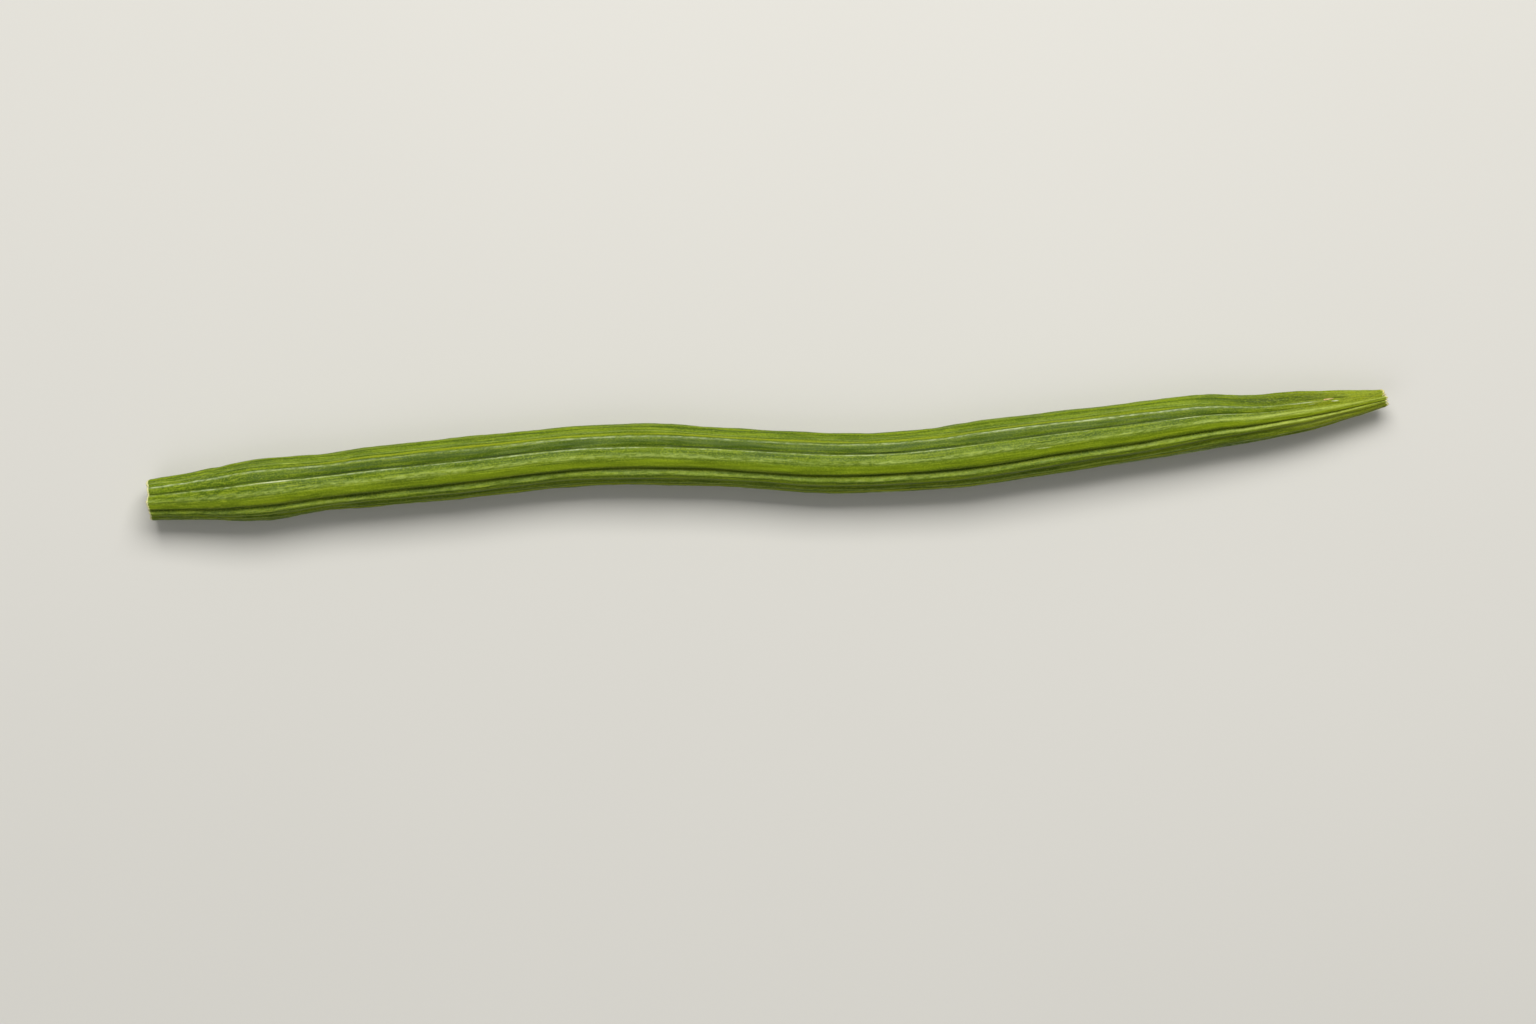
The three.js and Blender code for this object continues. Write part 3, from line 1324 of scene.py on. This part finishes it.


# Painted highlight: a white gleam beside the torn skin and one on the furrow lip near the broad cut.
PAINTED_HIGHLIGHT = colour(222, 226, 190)
# Dark green for cracks, spots, scabs and a darker patch beside the torn skin.
DARK_MARK = colour(40, 56, 8)
# Cream for the pale scars and dashes, and for a painted highlight on the furrow lip near the neck.
CREAM_SCAR_AND_HIGHLIGHT = colour(206, 216, 164)
DARK_GREEN = colour(46, 64, 5)
# Pale bloom brightened with painted highlight, on the neck's ridge and ribs.
FROST_AND_HIGHLIGHT = colour(172, 186, 80)
MARKS = (
    Mark("dark neck flank", 249.0, -64.0, 15.0, 2.0, DARK_GREEN, 0.8, 0.6),
    Mark("bright neck ridge", 252.0, -2.0, 19.0, 0.62, FROST_AND_HIGHLIGHT, 0.7, 0.55),
    Mark("bright neck rib", 251.0, 32.0, 19.0, 0.45, FROST_AND_HIGHLIGHT, 0.65, 0.55),
    Mark("bright lower rib", 258.0, 60.0, 9.0, 0.4, FROST_AND_HIGHLIGHT, 0.6, 0.5),
    Mark("scar dash", 254.3, -38.5, 3.2, 0.11, CREAM_SCAR_AND_HIGHLIGHT, 0.85, 0.5),
    Mark("short dash", 256.2, -31.0, 0.9, 0.09, CREAM_SCAR_AND_HIGHLIGHT, 0.4, 0.4),
    Mark("highlight beside the torn skin", 261.5, -34.0, 0.9, 0.13, PAINTED_HIGHLIGHT, 0.9, 0.4),
    Mark("crack over the torn skin", 257.5, -50.0, 6.0, 0.12, DARK_MARK, 0.8, 0.3),
    Mark("dark patch beside the torn skin", 262.6, -52.0, 2.2, 0.5, DARK_MARK, 0.7, 0.4),
    Mark("cream highlight on the furrow lip", 228.8, -17.6, 3.1, 0.11, CREAM_SCAR_AND_HIGHLIGHT, 0.8, 0.5),
    Mark("furrow gleam", 28.5, -18.2, 4.6, 0.15, PAINTED_HIGHLIGHT, 0.8, 0.35),
    Mark("lens scar", 196.5, 4.0, 1.9, 0.15, CREAM_SCAR_AND_HIGHLIGHT, 0.35, 0.5),
    Mark("long crack", 75.0, 4.5, 5.2, 0.1, DARK_MARK, 0.55, 0.35),
    Mark("second crack", 89.0, 4.5, 4.2, 0.1, DARK_MARK, 0.45, 0.35),
    Mark("third crack", 217.5, 3.5, 5.6, 0.1, DARK_MARK, 0.45, 0.35),
    Mark("small spot", 63.0, 12.0, 0.4, 0.2, DARK_MARK, 0.4, 0.5),
    Mark("small scab", 203.0, -58.0, 0.6, 0.2, DARK_MARK, 0.4, 0.5),
    Mark("far scab", 120.0, 150.0, 2.2, 0.4, DARK_MARK, 0.5, 0.6),
    Mark("far scar", 88.0, -140.0, 3.0, 0.16, CREAM_SCAR_AND_HIGHLIGHT, 0.5, 0.4),
)


@dataclass(frozen=True)
class SkinFinish:
    """The green skin: mottled, streaked lengthwise, with pale and dark lines where the veins run.

    It ripens from one distance along the neck to another. Its streaks are crisper near the broad cut,
    as far as crisp_end. Each strength is the share by which a pattern's colour covers what is under it.
    """

    sizes: PodSizes
    gloss: Gloss = Gloss()
    green: Colour = colour(99, 120, 14)
    deep: Colour = colour(58, 81, 6)
    light: Colour = colour(136, 151, 38)
    olive: Colour = colour(124, 142, 14)
    ripe: Colour = colour(138, 146, 26)
    rim: Colour = colour(218, 213, 158)
    roughness: float = 0.46
    ripe_start: float = 234.0
    ripe_end: float = 268.0
    ripe_strength: float = 0.6
    ripe_mottling: float = 0.3
    crisp_end: float = 140.0
    crispness: float = 0.5
    rim_width: float = 0.38
    mottle_strength: float = 0.6
    olive_bands: float = 0.6
    dark_bands: float = 0.4
    light_streaks: float = 0.65
    dark_streaks: float = 0.55
    grain_strength: float = 0.5
    crack_strength: float = 0.5

    def tints(self) -> dict[Tint, Colour]:
        """Gives the colour of each tint."""
        return {
            # Painted shade in the shade, dark and grey tints; painted highlight over pale bloom in the white
            # and pale tints.
            Tint.WHITE: colour(206, 218, 174),
            Tint.PALE: colour(168, 186, 96),
            Tint.FROST: colour(122, 141, 50),
            Tint.GREY_AND_SHADE: colour(56, 77, 14),
            Tint.OLIVE: colour(124, 142, 12),
            Tint.YELLOW: colour(144, 152, 14),
            Tint.SHADE: colour(47, 69, 4),
            Tint.DARK: colour(27, 45, 3),
        }

    def ground(self, maker: Maker, rule: PodRule, grain: Value) -> bpy.types.NodeSocket:
        """Makes the colour that the veins lie on.

        Args:
            maker: Adds the nodes.
            rule: The pod's rule in the material.
            grain: The skin's finest pattern.

        Returns:
            The colour.
        """
        mottle = rule.noise(Pattern.MOTTLE).spread(1.2)
        streaks = rule.noise(Pattern.STREAKS)
        bands = rule.noise(Pattern.BANDS)
        ripe = rule.along.ramp(self.ripe_start, self.ripe_end)
        crisp = 1.0 + rule.along.ramp(self.crisp_end, 0.0) * self.crispness
        return maker.coats(self.green, (
            (mottle * self.mottle_strength, self.deep),
            (bands.ramp(0.0, 0.4) * self.olive_bands, self.olive),
            (bands.ramp(-0.1, -0.5) * self.dark_bands, self.deep),
            (ripe * (self.ripe_strength + mottle * self.ripe_mottling), self.ripe),
            (streaks.ramp(0.1, 0.5) * crisp * self.light_streaks, self.light),
            (streaks.ramp(-0.1, -0.5) * crisp * self.dark_streaks, self.deep),
            (grain.ramp(0.0, 0.5) * self.grain_strength, self.light),
            (grain.ramp(0.0, -0.5) * self.grain_strength, self.deep),
        ))

    def lines(self, rule: PodRule, edge: Value) -> list[tuple[Number, object]]:
        """Gives the coats that lie on the ground: cracks, veins, marks and the torn rim.

        Args:
            rule: The pod's rule in the material.
            edge: A pattern that makes the edges of marks and of the rim ragged.

        Returns:
            Each coat's strength and colour.
        """
        tints = self.tints()
        pale = rule.noise(Pattern.FROST).spread(0.6, 0.7)
        # The cracks take the shade tint: painted shade in the thin cracks.
        coats: list[tuple[Number, object]] = [(rule.cracks() * self.crack_strength, tints[Tint.SHADE])]
        for vein, shown in rule.veins():
            strength = shown * vein.strength
            coats.append((strength * pale if vein.roped else strength, tints[vein.tint]))
        coats += [(mark.mask(rule, edge), mark.tint) for mark in MARKS]
        half = self.rim_width / 2
        coats.append((1 - (rule.reach + edge * half).ramp(half, self.rim_width * 1.2), self.rim))
        return coats

    def build(self) -> bpy.types.Material:
        """Builds the material.

        Returns:
            The material.
        """
        material, maker = new_material("pod_skin")
        rule = mapped_rule(maker, self.sizes)
        grain = rule.noise(Pattern.GRAIN)
        ground = self.ground(maker, rule, grain)
        base = maker.coats(ground, self.lines(rule, rule.noise(Pattern.EDGE)))
        rough = rule.noise(Pattern.GLOSS).spread(0.07, self.roughness)
        self.gloss.finish(maker, base, rough, grain)
        return material


@dataclass(frozen=True)
class CutFinish:
    """A cut face: pale flesh inside a green rind, with seams, vessels and a soft core.

    The flesh is green from a share of the radius outwards, and the pitch of its cells is in millimetres.
    Each strength is the share by which a colour covers what is under it.
    """

    sizes: PodSizes
    pattern: CutPattern = CutPattern()
    gloss: Gloss = Gloss(ior=1.38, grain_strength=0.6, grain_distance=0.00006)
    flesh: Colour = colour(212, 216, 166)
    green_flesh: Colour = colour(166, 184, 102)
    rind: Colour = colour(98, 122, 34)
    edge: Colour = colour(222, 218, 166)
    core: Colour = colour(186, 178, 128)
    vessel: Colour = colour(158, 152, 84)
    roughness: float = 0.6
    cell_pitch: float = 0.45
    green_from: float = 0.55
    vessel_strength: float = 0.7
    seam_strength: float = 0.6
    rind_strength: float = 0.85

    def build(self) -> bpy.types.Material:
        """Builds the material.

        Returns:
            The material.
        """
        material, maker = new_material("cut_flesh")
        rule = mapped_rule(maker, self.sizes)
        share = Value(maker, maker.node("ShaderNodeAttribute", {"attribute_name": SHARE}).outputs["Fac"])
        cells = maker.object_noise(self.cell_pitch * MM, SEED, 3.0)
        core = 1 - share.ramp(self.sizes.core_reach * 0.4, self.sizes.core_reach * 1.3)
        start = self.pattern.rind_share
        rind = (share + cells * 0.006).ramp(start - 0.015, start + 0.01)
        base = maker.coats(self.flesh, (
            (share.ramp(self.green_from, start), self.green_flesh),
            (core * (0.6 + cells * 0.3), self.core),
            (cells.spread(0.25, 0.1), self.vessel),
            (self.pattern.bundle(rule, share) * self.vessel_strength, self.vessel),
            (self.pattern.seam(rule, share) * self.seam_strength, self.rind),
            (rind * self.rind_strength, self.rind),
            ((share + cells * 0.01).ramp(0.975, 0.995), self.edge),
        ))
        self.gloss.finish(maker, base, cells.spread(0.06, self.roughness), cells)
        return material


@dataclass(frozen=True)
class FibreFinish:
    """Dry torn fibre: pale, with browner stretches. Patches and grain are in millimetres."""

    name: str
    pale: Colour
    brown: Colour
    brownness: float
    gloss: Gloss = Gloss(ior=1.4, grain_strength=0.4, grain_distance=0.00003)
    roughness: float = 0.62
    patch: float = 1.1
    patch_seed: float = 2.0
    patch_strength: float = 0.7
    grain: float = 0.12
    grain_seed: float = 3.0
    grain_strength: float = 0.25

    def build(self) -> bpy.types.Material:
        """Builds the material.

        Returns:
            The material.
        """
        material, maker = new_material(self.name)
        patches = maker.object_noise(self.patch * MM, self.patch_seed)
        grain = maker.object_noise(self.grain * MM, self.grain_seed)
        share = (patches * self.patch_strength + grain * self.grain_strength + self.brownness).held()
        base = maker.mix(share, self.pale, self.brown)
        self.gloss.finish(maker, base, grain.spread(0.05, self.roughness), grain)
        return material


@dataclass(frozen=True)
class Lamp:
    """A soft lamp: where it is and how large, in metres, and how bright."""

    name: str
    place: tuple[float, float, float]
    size: tuple[float, float]
    watts: float
    tint: tuple[float, float, float] = (1.0, 1.0, 1.0)

    def build(self) -> None:
        """Hangs the lamp, facing the pod."""
        light = bpy.data.lights.new(self.name, "AREA")
        light.shape = "RECTANGLE"
        light.size, light.size_y = self.size
        light.energy = self.watts
        light.color = self.tint
        lamp = bpy.data.objects.new(self.name, light)
        lamp.location = self.place
        lamp.rotation_euler = (-Vector(self.place)).to_track_quat("-Z", "Y").to_euler()
        bpy.context.scene.collection.objects.link(lamp)


@dataclass
class Studio:
    """The pale floor, the soft light and the camera that looks straight down at the pod.

    Places and sizes are in metres, the lens is in millimetres and the camera's turn is in degrees.
    """

    floor_size: float = 3.0
    floor_colour: Colour = colour(206, 204, 198)
    floor_cloud: Colour = colour(202, 200, 194)
    floor_gloss: Gloss = Gloss(ior=1.3, grain_strength=0.1)
    floor_roughness: float = 0.7
    cloud_pitch: float = 1 / 6
    cloud_seed: float = 1.0
    camera_place: tuple[float, float, float] = (-0.00119, -0.01211, 0.9447)
    camera_turn: float = -4.665
    lens: float = 100.0
    world_grey: float = 0.24
    lamps: tuple[Lamp, ...] = (
        Lamp("key_light", (0.12, 0.66, 0.93), (1.0, 0.6), 16.5, (1.0, 0.995, 0.975)),
        Lamp("fill_light", (-0.5, -0.6, 0.9), (0.8, 0.8), 2.0, (0.98, 0.99, 1.0)),
    )

    def build(self) -> bpy.types.Object:
        """Builds the studio.

        Returns:
            The floor.
        """
        for lamp in self.lamps:
            lamp.build()
        world = bpy.data.worlds.new("studio")
        world.use_nodes = True
        world.node_tree.nodes["Background"].inputs["Color"].default_value = (*[self.world_grey] * 3, 1.0)
        bpy.context.scene.world = world
        bpy.context.scene.view_settings.view_transform = "Standard"
        self.camera()
        return self.floor()

    def camera(self) -> None:
        """Sets the camera up."""
        data = bpy.data.cameras.new("camera")
        data.lens = self.lens
        camera = bpy.data.objects.new("camera", data)
        camera.location = self.camera_place
        camera.rotation_euler = (0.0, 0.0, math.radians(self.camera_turn))
        bpy.context.scene.collection.objects.link(camera)
        bpy.context.scene.camera = camera

    def floor(self) -> bpy.types.Object:
        """Lays the floor.

        Returns:
            The floor.
        """
        far = self.floor_size / 2
        corners = [(-far, -far, 0.0), (far, -far, 0.0), (far, far, 0.0), (-far, far, 0.0)]
        made = named_mesh("floor", corners, [(0, 1, 2, 3)])
        material, maker = new_material("floor_paint")
        cloud = maker.object_noise(self.cloud_pitch, self.cloud_seed)
        base = maker.mix(cloud.spread(0.4, 0.4), self.floor_colour, self.floor_cloud)
        self.floor_gloss.finish(maker, base, self.floor_roughness, cloud)
        made.data.materials.append(material)
        return made


def set_in_frame(pieces: list[bpy.types.Object], body: bpy.types.Object) -> None:
    """Moves the pieces' meshes from the pod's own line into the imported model's frame.

    Args:
        pieces: Every piece, the body among them.
        body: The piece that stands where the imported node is.
    """
    low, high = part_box(NODE)
    corners = [vertex.co for vertex in body.data.vertices]
    lowest = Vector([min(c[i] for c in corners) for i in range(3)])
    highest = Vector([max(c[i] for c in corners) for i in range(3)])
    shift = (low + high - lowest - highest) / 2
    shift.z = low.z - lowest.z
    for piece in pieces:
        piece.data.transform(Matrix.Translation(shift))


def main() -> None:
    """Builds the studio and the pod, and hands each piece to the frame."""
    logging.basicConfig(level=logging.INFO, format="%(name)s: %(message)s")
    shape = PodShape()
    Studio().build()
    skin = SkinFinish(shape.sizes).build()
    cut = CutFinish(shape.sizes, shape.pattern).build()
    pale = FibreFinish(
        "pale_fibre", pale=colour(214, 211, 158), brown=colour(172, 150, 88), brownness=0.1
    ).build()
    straw = FibreFinish(
        "straw_fibre", pale=colour(206, 198, 118), brown=colour(160, 142, 66), brownness=0.2
    ).build()
    tan = FibreFinish(
        "tan_fibre", pale=colour(212, 192, 132), brown=colour(158, 122, 68), brownness=0.35
    ).build()
    body = PodBody(shape).build(skin, cut)
    neck = shape.sizes.length
    broad_crumbs = CutCrumbs(
        "broad_cut_crumbs", at=0.0, outward=-1.0, count=120, shortest=0.04, longest=0.2,
        thickness=0.12, lean=0.5, inmost=0.93, seed=11,
    )
    neck_crumbs = CutCrumbs(
        "neck_cut_crumbs", at=neck, outward=1.0, count=90, shortest=0.03, longest=0.16,
        thickness=0.1, lean=0.7, inmost=0.88, seed=23,
    )
    neck_pith = CutCrumbs(
        "neck_pith", at=neck, outward=1.0, count=60, shortest=0.2, longest=0.8,
        thickness=0.12, lean=0.35, inmost=0.0, outmost=0.5, seed=31,
    )
    pieces = [
        body,
        broad_crumbs.build(shape, pale),
        neck_crumbs.build(shape, straw),
        neck_pith.build(shape, tan),
        TornSkin().build(shape, tan),
    ]
    set_in_frame(pieces, body)
    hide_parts(NODE)
    for piece in pieces:
        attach(piece, BODY)
        log.info("built %s with %d faces", piece.name, len(piece.data.polygons))


if __name__ == "__main__":
    main()
